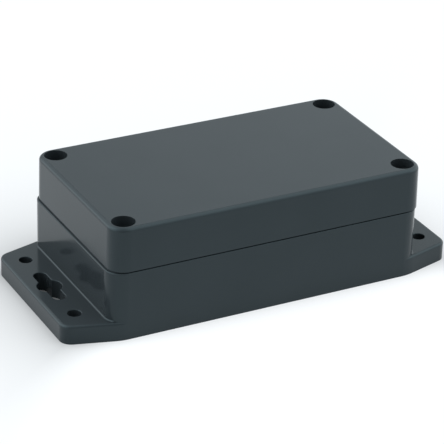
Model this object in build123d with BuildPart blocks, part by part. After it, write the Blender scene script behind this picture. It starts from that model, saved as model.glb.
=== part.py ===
from build123d import *
import math
import os

os.makedirs("parts", exist_ok=True)

# ---------------------------------------------------------------------------
# Flanged two-part electronics enclosure.  Millimetres, +Z up.
# Origin: middle of the underside.  +X along the long side, front is -Y.
# ---------------------------------------------------------------------------

# outside of the box
box_length = 115.3
box_width = 65.0
box_height = 40.0
corner_radius = 6.0

# parting line: a shadow gap between the rim of the base and the edge of the lid
rim_z = 24.12           # top of the outer rim of the base
seat_z = 24.58          # raised land of the base, where the lid's edge sits
rim_step = 0.8          # width of the lower outer rim
rim_edge_radius = 0.4   # rounded outer edge of the rim

# walls
wall = 3.2
floor = 2.8
roof = 2.8

# lid
lid_length = 115.1      # at its lower edge
lid_width = 65.0
lid_shift = 0.6         # the lid sits this far to +X on the base, within its screw clearance
lid_draft = 0.22        # how much each side leans in up to the top
lid_edge_radius = 1.5

# lid screws, concentric with the rounded corners
screw_x = 51.7
screw_y = 26.7
well_diameter = 7.9
well_floor_z = 30.6
screw_clearance = 5.4
post_radius = 6.0
screw_radius = 1.95
screw_head_radius = 3.25
screw_head_height = 2.4
screw_length = 15.5
recess_depth = 1.5

# thread inserts in the corner posts of the base
insert_radius = 3.1
insert_length = 8.0
insert_top_z = 24.1
insert_bore = 2.0
insert_fit = 0.02       # radial clearance in the post
post_bore_floor_z = 12.0

# gasket in the groove of the rim
groove_inset = 0.6      # from the inner face of the wall
groove_width = 1.2
groove_depth = 1.6
gasket_fit = 0.04       # side clearance of the cord in the groove

# mounting flanges
flange_thickness = 6.6
flange_outer_x = 72.3
flange_outer_y = 27.2   # half width at the outer face, corner not yet rounded
flange_start_x = 53.7   # where the sides begin to run in
flange_corner_radius = 4.2
flange_blend_radius = 15.8
flange_edge_radius = 1.0
flange_root_radius = 0.5
mount_x = 65.2
mount_y = 20.1
mount_radius = 2.25
key_radius = 4.2
key_half_length = 10.0
hole_edge_radius = 0.25

# board bosses on the floor
boss_x = 38.0
boss_y = 22.5
boss_radius = 3.2
boss_height = 5.0
boss_bore_radius = 1.25
boss_bore_depth = 6.0

half_x = box_length / 2
half_y = box_width / 2
corner_points = [
    (-screw_x, -screw_y),
    (screw_x, -screw_y),
    (-screw_x, screw_y),
    (screw_x, screw_y),
]
corner_names = ["front_left", "front_right", "rear_left", "rear_right"]


# inner outline: the inside of the walls, bent round the corner posts.
# grow moves it out into the wall, as the gasket groove does.
def inner_outline(grow, round_radius=1.5):
    with BuildSketch(mode=Mode.PRIVATE) as outline:
        Rectangle(box_length - 2 * wall, box_width - 2 * wall)
        with Locations(*corner_points):
            Circle(post_radius, mode=Mode.SUBTRACT)
        # the scrap left in each corner beyond its post
        with Locations(*[(math.copysign(half_x, x), math.copysign(half_y, y)) for x, y in corner_points]):
            Rectangle(2 * (half_x - screw_x), 2 * (half_y - screw_y), mode=Mode.SUBTRACT)
        fillet(outline.vertices(), radius=round_radius)
        if grow:
            offset(amount=grow, kind=Kind.ARC, mode=Mode.REPLACE)
    return outline.sketch


# ---------------------------------------------------------------------------
# base: box, flanges, posts and bosses in one moulding
# ---------------------------------------------------------------------------
with BuildSketch() as flange_plan:
    with BuildLine():
        Polyline(
            (flange_start_x, half_y),
            (flange_outer_x, flange_outer_y),
            (flange_outer_x, -flange_outer_y),
            (flange_start_x, -half_y),
            (-flange_start_x, -half_y),
            (-flange_outer_x, -flange_outer_y),
            (-flange_outer_x, flange_outer_y),
            (-flange_start_x, half_y),
            close=True,
        )
    make_face()
    plan_corners = flange_plan.vertices().group_by(Axis.X)
    fillet(plan_corners[0] + plan_corners[-1], radius=flange_corner_radius)
    fillet(
        [v for v in flange_plan.vertices() if abs(abs(v.X) - flange_start_x) < 0.01],
        radius=flange_blend_radius,
    )

with BuildPart() as flange_slab:
    with BuildSketch():
        add(flange_plan.sketch)
    extrude(amount=flange_thickness)
    fillet(flange_slab.faces().sort_by(Axis.Z)[-1].edges(), radius=flange_edge_radius)

# concave fillet where the flat tops of the flanges meet the end walls
with BuildPart() as flange_root:
    with BuildSketch(Plane.XY.offset(flange_thickness - 0.4)):
        Rectangle(2 * flange_outer_x, box_width + 10)
    extrude(amount=0.4)
    with BuildSketch(Plane.XY.offset(flange_thickness - 0.4)):
        RectangleRounded(box_length, box_width, corner_radius)
    extrude(amount=0.4 + 3 * flange_root_radius)
    root_edges = [
        e
        for e in flange_root.edges().filter_by_position(
            Axis.Z, flange_thickness - 0.001, flange_thickness + 0.001
        )
        if abs(e.center().X) < half_x + 0.01 and abs(e.center().Y) < half_y + 0.01
    ]
    fillet(root_edges, radius=flange_root_radius)
    with BuildSketch(Plane.XY.offset(flange_thickness - 0.4)):
        add(flange_plan.sketch)
        offset(amount=-(flange_edge_radius + 0.05), kind=Kind.ARC, mode=Mode.REPLACE)
    extrude(amount=0.4 + flange_root_radius, mode=Mode.INTERSECT)

with BuildPart() as base:
    with BuildSketch():
        RectangleRounded(box_length, box_width, corner_radius)
    extrude(amount=rim_z)
    fillet(base.faces().sort_by(Axis.Z)[-1].edges(), radius=rim_edge_radius)
    add(flange_slab.part)
    add(flange_root.part)
    with BuildSketch(Plane.XY.offset(rim_z)):
        RectangleRounded(box_length - 2 * rim_step, box_width - 2 * rim_step, corner_radius - rim_step)
    extrude(amount=seat_z - rim_z)
    # inside
    with BuildSketch(Plane.XY.offset(floor)):
        add(inner_outline(0))
    extrude(amount=seat_z - floor, mode=Mode.SUBTRACT)
    # gasket groove
    with BuildSketch(Plane.XY.offset(seat_z)):
        add(inner_outline(groove_inset + groove_width))
        add(inner_outline(groove_inset), mode=Mode.SUBTRACT)
    extrude(amount=-groove_depth, mode=Mode.SUBTRACT)
    # post bores with a shoulder under the insert
    with Locations(Plane.XY.offset(seat_z)):
        with Locations(*corner_points):
            CounterBoreHole(
                radius=2.3,
                counter_bore_radius=insert_radius + insert_fit,
                counter_bore_depth=seat_z - (insert_top_z - insert_length),
                depth=seat_z - post_bore_floor_z,
            )
    # board bosses
    with BuildSketch(Plane.XY.offset(floor - 0.2)):
        with GridLocations(2 * boss_x, 2 * boss_y, 2, 2):
            Circle(boss_radius)
    extrude(amount=boss_height + 0.2)
    with Locations(Plane.XY.offset(floor + boss_height)):
        with GridLocations(2 * boss_x, 2 * boss_y, 2, 2):
            Hole(boss_bore_radius, depth=boss_bore_depth)
    # mounting holes
    with Locations(Plane.XY.offset(flange_thickness)):
        with GridLocations(2 * mount_x, 2 * mount_y, 2, 2):
            Hole(mount_radius, depth=flange_thickness)
    # double-ended keyhole slots
    with BuildSketch():
        with Locations((-mount_x, 0), (mount_x, 0)):
            Circle(key_radius)
            SlotOverall(2 * key_half_length, 2 * mount_radius, rotation=90)
    extrude(amount=flange_thickness, mode=Mode.SUBTRACT)
    # small round on the upper edge of every hole in the flanges
    hole_edges = [
        e
        for e in base.edges().filter_by_position(
            Axis.Z, flange_thickness - 0.001, flange_thickness + 0.001
        )
        if mount_x - key_radius - 0.01 < abs(e.center().X) < mount_x + key_radius + 0.01
        and abs(e.center().Y) < mount_y + mount_radius + 0.01
        and e.length < 16
    ]
    fillet(hole_edges, radius=hole_edge_radius)

base.part.label = "base"
export_step(base.part, "parts/base.step")

# ---------------------------------------------------------------------------
# lid
# ---------------------------------------------------------------------------
lid_height = box_height - seat_z
with BuildPart() as lid:
    with BuildSketch(Plane.XY.offset(seat_z)):
        with Locations((lid_shift, 0)):
            RectangleRounded(lid_length, lid_width, corner_radius)
    extrude(amount=lid_height, taper=math.degrees(math.atan(lid_draft / lid_height)))
    fillet(lid.faces().sort_by(Axis.Z)[-1].edges(), radius=lid_edge_radius)
    with BuildSketch(Plane.XY.offset(seat_z)):
        with Locations((lid_shift, 0)):
            add(inner_outline(0))
    extrude(amount=lid_height - roof, mode=Mode.SUBTRACT)
    with Locations(Plane.XY.offset(box_height)):
        with Locations(*[(x + lid_shift, y) for x, y in corner_points]):
            CounterBoreHole(
                radius=screw_clearance / 2,
                counter_bore_radius=well_diameter / 2,
                counter_bore_depth=box_height - well_floor_z,
                depth=lid_height,
            )

lid.part.label = "lid"
export_step(lid.part, "parts/lid.step")

# ---------------------------------------------------------------------------
# gasket: a closed ring that fills the groove up to the lid's edge
# ---------------------------------------------------------------------------
with BuildPart() as lid_gasket:
    with BuildSketch(Plane.XY.offset(seat_z - groove_depth)):
        add(inner_outline(groove_inset + groove_width - gasket_fit))
        add(inner_outline(groove_inset + gasket_fit), mode=Mode.SUBTRACT)
    extrude(amount=groove_depth)

lid_gasket.part.label = "lid_gasket"
export_step(lid_gasket.part, "parts/lid_gasket.step")

# ---------------------------------------------------------------------------
# lid screws: cylindrical head with a rounded top and a cross recess
# ---------------------------------------------------------------------------
for name, (x, y) in zip(corner_names, corner_points):
    with BuildPart(Plane((x, y, well_floor_z))) as lid_screw:
        with BuildSketch(Plane((x, y, well_floor_z), x_dir=(1, 0, 0), z_dir=(0, -1, 0))):
            with BuildLine():
                Polyline(
                    (0, screw_head_height),
                    (0, -screw_length),
                    (screw_radius - 0.5, -screw_length),
                    (screw_radius, -screw_length + 0.5),
                    (screw_radius, 0),
                    (screw_head_radius, 0),
                    (screw_head_radius, screw_head_height - 0.7),
                )
                ThreePointArc(
                    (screw_head_radius, screw_head_height - 0.7),
                    (screw_head_radius - 0.25, screw_head_height - 0.28),
                    (screw_head_radius - 0.9, screw_head_height),
                )
                Line((screw_head_radius - 0.9, screw_head_height), (0, screw_head_height))
            make_face()
        revolve(axis=Axis((x, y, well_floor_z), (0, 0, 1)))
        # cross recess, narrowing downwards
        with BuildSketch(Plane.XY.offset(well_floor_z + screw_head_height)):
            with Locations((x, y)):
                Rectangle(3.9, 0.95, rotation=45)
                Rectangle(3.9, 0.95, rotation=-45)
                Circle(1.05)
        extrude(amount=-recess_depth, taper=12, mode=Mode.SUBTRACT)
    lid_screw.part.label = "lid_screw_" + name
    export_step(lid_screw.part, "parts/lid_screw_" + name + ".step")

# ---------------------------------------------------------------------------
# brass thread inserts: two knurl bands with a waist between them
# ---------------------------------------------------------------------------
for name, (x, y) in zip(corner_names, corner_points):
    with BuildPart() as thread_insert:
        with BuildSketch(Plane((x, y, insert_top_z), x_dir=(1, 0, 0), z_dir=(0, -1, 0))):
            with BuildLine():
                Polyline(
                    (insert_bore + 0.3, 0),
                    (insert_radius, 0),
                    (insert_radius, -3.0),
                    (insert_radius - 0.35, -3.3),
                    (insert_radius - 0.35, -4.7),
                    (insert_radius, -5.0),
                    (insert_radius, -insert_length + 0.4),
                    (insert_radius - 0.3, -insert_length),
                    (insert_bore + 0.3, -insert_length),
                    (insert_bore, -insert_length + 0.3),
                    (insert_bore, -0.3),
                    close=True,
                )
            make_face()
        revolve(axis=Axis((x, y, insert_top_z), (0, 0, 1)))
    thread_insert.part.label = "thread_insert_" + name
    export_step(thread_insert.part, "parts/thread_insert_" + name + ".step")
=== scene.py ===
import math

import bmesh
import bpy
from mathutils import Matrix, Vector


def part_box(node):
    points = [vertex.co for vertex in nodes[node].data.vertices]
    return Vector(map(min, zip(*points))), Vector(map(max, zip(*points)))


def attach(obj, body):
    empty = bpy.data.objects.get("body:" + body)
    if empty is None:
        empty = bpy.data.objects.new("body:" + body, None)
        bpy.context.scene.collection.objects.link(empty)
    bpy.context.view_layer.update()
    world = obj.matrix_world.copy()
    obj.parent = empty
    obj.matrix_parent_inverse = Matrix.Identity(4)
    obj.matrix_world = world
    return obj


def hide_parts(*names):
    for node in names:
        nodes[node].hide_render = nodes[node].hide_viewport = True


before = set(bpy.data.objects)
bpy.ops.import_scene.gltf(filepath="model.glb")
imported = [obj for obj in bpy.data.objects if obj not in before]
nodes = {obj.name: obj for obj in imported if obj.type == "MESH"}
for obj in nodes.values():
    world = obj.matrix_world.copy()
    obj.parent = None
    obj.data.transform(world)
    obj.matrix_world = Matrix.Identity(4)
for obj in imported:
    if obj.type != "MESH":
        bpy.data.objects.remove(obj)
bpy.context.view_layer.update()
scene = bpy.context.scene

# ---------------------------------------------------------------------------
# view: the photograph's angle, for a square 444 x 444 picture
# ---------------------------------------------------------------------------
RIGHT = (0.88811022, -0.45884061, 0.02693573)
UP = (0.18763858, 0.41543433, 0.89005959)
BACK = (-0.41958551, -0.78541684, 0.45504768)
PLACE = (-0.32788646, -0.61136089, 0.37103447)

camera_data = bpy.data.cameras.new("camera")
camera_data.sensor_fit = "HORIZONTAL"
camera_data.sensor_width = 36.0
camera_data.lens = 185.671
camera_data.shift_x = -0.285 / 444
camera_data.clip_start = 0.05
camera_data.clip_end = 20.0
camera = bpy.data.objects.new("camera", camera_data)
camera.matrix_world = Matrix((
    (RIGHT[0], UP[0], BACK[0], PLACE[0]),
    (RIGHT[1], UP[1], BACK[1], PLACE[1]),
    (RIGHT[2], UP[2], BACK[2], PLACE[2]),
    (0, 0, 0, 1),
))
scene.collection.objects.link(camera)
scene.camera = camera
scene.view_settings.view_transform = "Standard"
scene.view_settings.look = "None"


# ---------------------------------------------------------------------------
# small helpers for materials
# ---------------------------------------------------------------------------
def new_material(name):
    material = bpy.data.materials.new(name)
    material.use_nodes = True
    tree = material.node_tree
    shader = tree.nodes["Principled BSDF"]
    return material, tree, shader


def paint(node_name, material):
    mesh = nodes[node_name].data
    mesh.materials.clear()
    mesh.materials.append(material)


def noise(tree, coordinates, scale, detail=2.0, roughness=0.5):
    node = tree.nodes.new("ShaderNodeTexNoise")
    node.inputs["Scale"].default_value = scale
    node.inputs["Detail"].default_value = detail
    node.inputs["Roughness"].default_value = roughness
    tree.links.new(coordinates, node.inputs["Vector"])
    return node.outputs["Fac"]


def spread(tree, value, low, high, start=0.25, end=0.75):
    node = tree.nodes.new("ShaderNodeMapRange")
    node.inputs["From Min"].default_value = start
    node.inputs["From Max"].default_value = end
    node.inputs["To Min"].default_value = low
    node.inputs["To Max"].default_value = high
    tree.links.new(value, node.inputs["Value"])
    return node.outputs["Result"]


def blend_colors(tree, value, first, second, start=0.3, end=0.7):
    ramp = tree.nodes.new("ShaderNodeValToRGB")
    ramp.color_ramp.elements[0].position = start
    ramp.color_ramp.elements[0].color = (*first, 1)
    ramp.color_ramp.elements[1].position = end
    ramp.color_ramp.elements[1].color = (*second, 1)
    tree.links.new(value, ramp.inputs["Fac"])
    return ramp.outputs["Color"]


def mix(tree, kind, factor, first, second):
    node = tree.nodes.new("ShaderNodeMix")
    node.data_type = "RGBA"
    node.blend_type = kind
    node.inputs["Factor"].default_value = factor
    tree.links.new(first, node.inputs["A"])
    tree.links.new(second, node.inputs["B"])
    return node.outputs["Result"]


def bump(tree, height, distance, strength=1.0, under=None):
    node = tree.nodes.new("ShaderNodeBump")
    node.inputs["Strength"].default_value = strength
    node.inputs["Distance"].default_value = distance
    tree.links.new(height, node.inputs["Height"])
    if under is not None:
        tree.links.new(under, node.inputs["Normal"])
    return node.outputs["Normal"]


def calc(tree, operation, first, second=None):
    node = tree.nodes.new("ShaderNodeMath")
    node.operation = operation
    for socket, value in zip(node.inputs, (first, second)):
        if value is None:
            continue
        if isinstance(value, (int, float)):
            socket.default_value = value
        else:
            tree.links.new(value, socket)
    return node.outputs[0]


# ---------------------------------------------------------------------------
# moulded plastic: dark graphite, smooth and glossy, with a faint cloudiness of
# the pigment, fine specks, and the very shallow waviness of a moulded face
# ---------------------------------------------------------------------------
def housing_plastic(name):
    material, tree, shader = new_material(name)
    place = tree.nodes.new("ShaderNodeTexCoord").outputs["Object"]
    cloud = noise(tree, place, 55.0, 3.0)
    specks = noise(tree, place, 2600.0, 2.0, 0.6)
    base = blend_colors(tree, cloud, (0.0202, 0.0251, 0.0281), (0.0220, 0.0271, 0.0303))
    grain = blend_colors(tree, specks, (0.94, 0.94, 0.94), (1.0, 1.0, 1.0))
    tree.links.new(mix(tree, "MULTIPLY", 1.0, base, grain), shader.inputs["Base Color"])
    shader.inputs["IOR"].default_value = 1.32
    shader.inputs["Specular Tint"].default_value = (0.70, 0.94, 1.0, 1)
    smudge = noise(tree, place, 95.0, 4.0, 0.55)
    tree.links.new(spread(tree, smudge, 0.12, 0.17), shader.inputs["Roughness"])
    wave = bump(tree, noise(tree, place, 75.0, 1.0), 0.000006)
    fine = bump(tree, noise(tree, place, 1900.0, 2.0, 0.6), 0.0000016, under=wave)
    tree.links.new(fine, shader.inputs["Normal"])
    return material


# ---------------------------------------------------------------------------
# soft black rubber with a matt, finely pored skin
# ---------------------------------------------------------------------------
def gasket_rubber(name):
    material, tree, shader = new_material(name)
    place = tree.nodes.new("ShaderNodeTexCoord").outputs["Object"]
    base = blend_colors(tree, noise(tree, place, 320.0, 4.0), (0.010, 0.010, 0.011), (0.019, 0.019, 0.020))
    tree.links.new(base, shader.inputs["Base Color"])
    tree.links.new(spread(tree, noise(tree, place, 1400.0, 3.0), 0.55, 0.78), shader.inputs["Roughness"])
    shader.inputs["Sheen Weight"].default_value = 0.15
    shader.inputs["Sheen Roughness"].default_value = 0.5
    tree.links.new(bump(tree, noise(tree, place, 3800.0, 3.0, 0.7), 0.00002), shader.inputs["Normal"])
    return material


# ---------------------------------------------------------------------------
# turned metal: fine rings round the piece's own axis
# ---------------------------------------------------------------------------
def turned_metal(name, dark, light, rough, rings, shine):
    material, tree, shader = new_material(name)
    coordinates = tree.nodes.new("ShaderNodeTexCoord")
    own = coordinates.outputs["Generated"]
    place = coordinates.outputs["Object"]
    # rings about the middle of the piece's box
    shift = tree.nodes.new("ShaderNodeVectorMath")
    shift.operation = "SUBTRACT"
    tree.links.new(own, shift.inputs[0])
    shift.inputs[1].default_value = (0.5, 0.5, 0.0)
    wave = tree.nodes.new("ShaderNodeTexWave")
    wave.wave_type = "RINGS"
    wave.rings_direction = "Z"
    wave.inputs["Scale"].default_value = rings
    wave.inputs["Distortion"].default_value = 0.6
    wave.inputs["Detail"].default_value = 2.0
    tree.links.new(shift.outputs["Vector"], wave.inputs["Vector"])
    stain = noise(tree, place, 700.0, 4.0, 0.6)
    base = blend_colors(tree, stain, dark, light)
    tree.links.new(base, shader.inputs["Base Color"])
    shader.inputs["Metallic"].default_value = 1.0
    tree.links.new(spread(tree, noise(tree, place, 1500.0, 3.0), rough, rough + 0.13), shader.inputs["Roughness"])
    shader.inputs["Anisotropic"].default_value = shine
    tree.links.new(bump(tree, wave.outputs["Fac"], 0.0000035), shader.inputs["Normal"])
    return material


plastic = housing_plastic("housing_plastic")
rubber = gasket_rubber("gasket_rubber")
steel = turned_metal("screw_steel", (0.46, 0.455, 0.445), (0.60, 0.595, 0.585), 0.24, 26.0, 0.35)
brass = turned_metal("insert_brass", (0.60, 0.42, 0.17), (0.76, 0.56, 0.26), 0.22, 22.0, 0.2)
paint("base", plastic)
paint("lid", plastic)
paint("lid_gasket", rubber)

# ---------------------------------------------------------------------------
# metric thread, as one shape that the screws and the inserts share
# ---------------------------------------------------------------------------
PITCH = 0.0007
THREAD_ROOT = 0.00160
THREAD_TOP = 0.00195


def thread_height(turn):
    # turn: place within one pitch, 0 to 1; flat crest, sloping flanks, flat root
    turn = turn % 1.0
    if turn < 0.0625 or turn > 0.9375:
        return 1.0
    if turn > 0.5:
        turn = 1.0 - turn
    if turn > 0.375:
        return 0.0
    return 1.0 - (turn - 0.0625) / 0.3125


def thread_radius(angle, height):
    return THREAD_ROOT + (THREAD_TOP - THREAD_ROOT) * thread_height(height / PITCH + angle / (2 * math.pi))


def ring_of(bm, centre, height, radii):
    count = len(radii)
    return [
        bm.verts.new((
            centre[0] + radii[i] * math.cos(2 * math.pi * i / count),
            centre[1] + radii[i] * math.sin(2 * math.pi * i / count),
            height,
        ))
        for i in range(count)
    ]


def bridge(bm, lower, upper, outward=True):
    count = len(lower)
    for i in range(count):
        j = (i + 1) % count
        quad = (lower[i], lower[j], upper[j], upper[i])
        bm.faces.new(quad if outward else quad[::-1])


def new_piece(name, bm, material, angle):
    bmesh.ops.recalc_face_normals(bm, faces=bm.faces)
    mesh = bpy.data.meshes.new(name)
    bm.to_mesh(mesh)
    bm.free()
    mesh.materials.append(material)
    mesh.polygons.foreach_set("use_smooth", [True] * len(mesh.polygons))
    mesh.set_sharp_from_angle(angle=math.radians(angle))
    piece = bpy.data.objects.new(name, mesh)
    scene.collection.objects.link(piece)
    return piece


# ---------------------------------------------------------------------------
# lid screws: the head as constructed, with a real thread on the shank
# ---------------------------------------------------------------------------
HEAD_HEIGHT = 0.0024
AROUND = 48


def threaded_screw(node_name):
    low, high = (Vector(corner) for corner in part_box(node_name))
    centre = ((low.x + high.x) / 2, (low.y + high.y) / 2)
    neck = high.z - HEAD_HEIGHT
    bm = bmesh.new()
    bm.from_mesh(nodes[node_name].data)
    bmesh.ops.remove_doubles(bm, verts=bm.verts, dist=1e-7)
    cut = bmesh.ops.bisect_plane(
        bm,
        geom=bm.verts[:] + bm.edges[:] + bm.faces[:],
        plane_co=(0, 0, neck - 0.00025),
        plane_no=(0, 0, -1),
        clear_outer=True,
    )
    rim = [item for item in cut["geom_cut"] if isinstance(item, bmesh.types.BMEdge)]
    # shank, from just below the neck to the chamfered tip
    top = neck - 0.0003
    tip = low.z
    rows = int(round((top - tip) / (PITCH / 8)))
    below = None
    first = None
    for row in range(rows + 1):
        height = top + (tip - top) * row / rows
        fade = min(1.0, max(0.0, (top - height - 0.0006) / 0.0007))
        limit = THREAD_TOP - max(0.0, 0.00055 - (height - tip))
        radii = []
        for i in range(AROUND):
            full = thread_radius(2 * math.pi * i / AROUND, height)
            plain = THREAD_TOP - 0.00018
            radii.append(min(limit, plain + (full - plain) * fade))
        ring = ring_of(bm, centre, height, radii)
        if below is not None:
            bridge(bm, ring, below)
        else:
            first = ring
        below = ring
    bm.faces.new(below[::-1])
    # the narrow shoulder that joins the head's neck to the shank
    shank = [bm.edges.get((first[i], first[(i + 1) % AROUND])) for i in range(AROUND)]
    bmesh.ops.bridge_loops(bm, edges=rim + shank)
    piece = new_piece(node_name + "_threaded", bm, steel, 32)
    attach(piece, "root")
    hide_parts(node_name)
    return piece


# ---------------------------------------------------------------------------
# thread inserts: two knurled bands of opposite hand, a waist between them, and
# the same thread inside
# ---------------------------------------------------------------------------
TEETH = 26
STEPS = 4


def knurled_insert(node_name):
    low, high = (Vector(corner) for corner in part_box(node_name))
    centre = ((low.x + high.x) / 2, (low.y + high.y) / 2)
    outer = (high.x - low.x) / 2
    length = high.z - low.z
    count = TEETH * STEPS
    tooth = (0.0, 0.00016, 0.00016, 0.0)

    def knurl(index, depth, lean):
        step = (index / STEPS + lean * depth * TEETH) % 1.0
        place = step * STEPS
        i = int(place) % STEPS
        return tooth[i] + (tooth[(i + 1) % STEPS] - tooth[i]) * (place - int(place))

    bm = bmesh.new()
    # depth below the top, radius, and whether that ring carries the knurl
    profile = [(0.0, outer - 0.00022, 0)]
    upper = [0.00022 + (0.0030 - 0.00022) * k / 10 for k in range(11)]
    profile += [(depth, outer, 1) for depth in upper]
    profile += [(0.00318, outer - 0.00040, 0), (0.00482, outer - 0.00040, 0)]
    lower = [0.0050 + (length - 0.0004 - 0.0050) * k / 9 for k in range(10)]
    profile += [(depth, outer, -1) for depth in lower]
    profile += [(length, outer - 0.0003, 0)]
    rings = []
    for depth, radius, lean in profile:
        radii = [radius - (knurl(i, depth, 38.0 * lean) if lean else 0.0) for i in range(count)]
        rings.append(ring_of(bm, centre, high.z - depth, radii))
    for above, under in zip(rings, rings[1:]):
        bridge(bm, under, above)
    # inside, with a chamfer at each mouth
    rows = int(round(length / (PITCH / 8)))
    inner = []
    for row in range(rows + 1):
        height = high.z - length * row / rows
        mouth = max(0.0, 0.0003 - (high.z - height), 0.0003 - (height - low.z))
        radii = [
            max(thread_radius(2 * math.pi * i / count, height) + 0.00004, 0.0020 + mouth - 0.0003 if mouth else 0.0, 0.0017 + 1.6 * mouth)
            for i in range(count)
        ]
        inner.append(ring_of(bm, centre, height, radii))
    for above, under in zip(inner, inner[1:]):
        bridge(bm, under, above, outward=False)
    bridge(bm, inner[0], rings[0], outward=False)
    bridge(bm, inner[-1], rings[-1])
    piece = new_piece(node_name + "_knurled", bm, brass, 30)
    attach(piece, "root")
    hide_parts(node_name)
    return piece


for corner in ("front_left", "front_right", "rear_left", "rear_right"):
    threaded_screw("lid_screw_" + corner)
    knurled_insert("thread_insert_" + corner)

# ---------------------------------------------------------------------------
# stage: a plain white floor that glows a little, so that it stays white; close to the
# object the glow changes, painted shade by its left end and rear, painted light by its front
# ---------------------------------------------------------------------------
# glow far off; glow close to each side (painted shade where lower, painted light where higher); depth of the
# painted contact shadow
FAR_GLOW = 0.62
NEAR_LEFT = 0.46
NEAR_RIGHT = 0.61
NEAR_FRONT = 0.93
NEAR_REAR = 0.30
CONTACT_SHADOW_END = 0.20
CONTACT_SHADOW_SIDE = 0.30
floor_mesh = bpy.data.meshes.new("floor")
floor_mesh.from_pydata([(-3, -3, 0), (3, -3, 0), (3, 3, 0), (-3, 3, 0)], [], [(0, 1, 2, 3)])
floor = bpy.data.objects.new("floor", floor_mesh)
floor.location.z = -0.00002
scene.collection.objects.link(floor)
floor_material, tree, floor_shader = new_material("floor_white")
floor_shader.inputs["Base Color"].default_value = (0.25, 0.25, 0.25, 1)
floor_shader.inputs["Roughness"].default_value = 1.0
floor_shader.inputs["Specular IOR Level"].default_value = 0.0
floor_shader.inputs["Emission Color"].default_value = (0.98, 1.0, 1.02, 1)
spot = tree.nodes.new("ShaderNodeSeparateXYZ")
tree.links.new(tree.nodes.new("ShaderNodeNewGeometry").outputs["Position"], spot.inputs[0])
across = calc(tree, "ABSOLUTE", spot.outputs[0])
along = calc(tree, "ABSOLUTE", spot.outputs[1])
# distance outside the object's footprint
slant = calc(tree, "ADD", calc(tree, "MULTIPLY", across, 0.274), calc(tree, "MULTIPLY", along, 0.9617))
outside = calc(tree, "MAXIMUM", calc(tree, "SUBTRACT", across, 0.0723), calc(tree, "SUBTRACT", along, 0.0325))
outside = calc(tree, "MAXIMUM", calc(tree, "MAXIMUM", outside, calc(tree, "SUBTRACT", slant, 0.04597)), 0.0)
near = calc(tree, "EXPONENT", calc(tree, "DIVIDE", outside, -0.030))
contact_shadow_falloff = calc(tree, "EXPONENT", calc(tree, "DIVIDE", outside, -0.006))
# how far a spot lies beside an end of the object (1) or beside a long side (0)
past_end = calc(tree, "SUBTRACT", calc(tree, "SUBTRACT", across, 0.0650), calc(tree, "SUBTRACT", along, 0.0325))
past_end = calc(tree, "ADD", calc(tree, "EXPONENT", calc(tree, "DIVIDE", past_end, -0.006)), 1.0)
past_end = calc(tree, "DIVIDE", 1.0, past_end)
on_left = calc(tree, "LESS_THAN", spot.outputs[0], 0.0)
on_front = calc(tree, "LESS_THAN", spot.outputs[1], 0.0)
# glow close to the object on its right and left ends, its rear and its front: painted shade where it is lower
# than FAR_GLOW, painted light where it is higher
end_glow = calc(tree, "SUBTRACT", NEAR_RIGHT, calc(tree, "MULTIPLY", on_left, NEAR_RIGHT - NEAR_LEFT))
side_glow = calc(tree, "ADD", calc(tree, "MULTIPLY", on_front, NEAR_FRONT - NEAR_REAR), NEAR_REAR)
close = calc(tree, "MULTIPLY", past_end, calc(tree, "SUBTRACT", end_glow, side_glow))
close = calc(tree, "ADD", close, side_glow)
glow = calc(tree, "MULTIPLY", near, calc(tree, "SUBTRACT", close, FAR_GLOW))
glow = calc(tree, "ADD", glow, FAR_GLOW)
# a narrow painted contact shadow: a darker line of less glow where the object stands on the floor
line = calc(tree, "ADD", calc(tree, "MULTIPLY", past_end, CONTACT_SHADOW_END - CONTACT_SHADOW_SIDE), CONTACT_SHADOW_SIDE)
glow = calc(tree, "SUBTRACT", glow, calc(tree, "MULTIPLY", contact_shadow_falloff, line))
# no glow under the object: painted shade under it, so the floor seen through the holes in its flanges stays dark
covered = calc(tree, "MAXIMUM", calc(tree, "SUBTRACT", across, 0.0690), calc(tree, "SUBTRACT", along, 0.0240))
glow = calc(tree, "MULTIPLY", glow, calc(tree, "GREATER_THAN", covered, 0.0))
tree.links.new(glow, floor_shader.inputs["Emission Strength"])
floor_mesh.materials.append(floor_material)

# ---------------------------------------------------------------------------
# plain soft studio light: soft sources round the object, as azimuth from +X,
# elevation, width (half strength at this angle from the middle) and strength
# ---------------------------------------------------------------------------
SOURCES = [
    (0, 90, 24, 0.20),
    (30, 50, 24, 0.35),
    (90, 50, 24, 0.20),
    (150, 50, 24, 3.00),
    (210, 50, 24, 0.20),
    (270, 50, 24, 0.20),
    (330, 50, 24, 2.40),
    (0, 14, 24, 1.60),
    (45, 14, 24, 0.85),
    (90, 14, 24, 0.20),
    (135, 14, 24, 1.60),
    (180, 14, 24, 1.60),
    (225, 14, 24, 0.20),
    (270, 14, 24, 0.20),
    (315, 14, 24, 1.16),
    (62, 27, 10.7, 0.10),
    (91, 38, 10.7, 0.52),
    (128, 4, 10.7, 1.01),
    (31, 61, 10.7, 1.08),
    (205, 41, 10.7, 0.22),
]
world = bpy.data.worlds.new("studio")
scene.world = world
world.use_nodes = True
tree = world.node_tree
background = tree.nodes["Background"]
background.inputs["Color"].default_value = (0.95, 1.01, 1.04, 1)
toward = tree.nodes.new("ShaderNodeTexCoord").outputs["Generated"]
total = 0.0
for azimuth, elevation, width, strength in SOURCES:
    a, e = math.radians(azimuth), math.radians(elevation)
    facing = tree.nodes.new("ShaderNodeVectorMath")
    facing.operation = "DOT_PRODUCT"
    tree.links.new(toward, facing.inputs[0])
    facing.inputs[1].default_value = (math.cos(a) * math.cos(e), math.sin(a) * math.cos(e), math.sin(e))
    sharpness = math.log(2) / (1 - math.cos(math.radians(width)))
    lobe = calc(tree, "MULTIPLY", calc(tree, "SUBTRACT", facing.outputs["Value"], 1.0), sharpness)
    lobe = calc(tree, "MULTIPLY", calc(tree, "EXPONENT", lobe), strength)
    total = calc(tree, "ADD", total, lobe)
tree.links.new(total, background.inputs["Strength"])
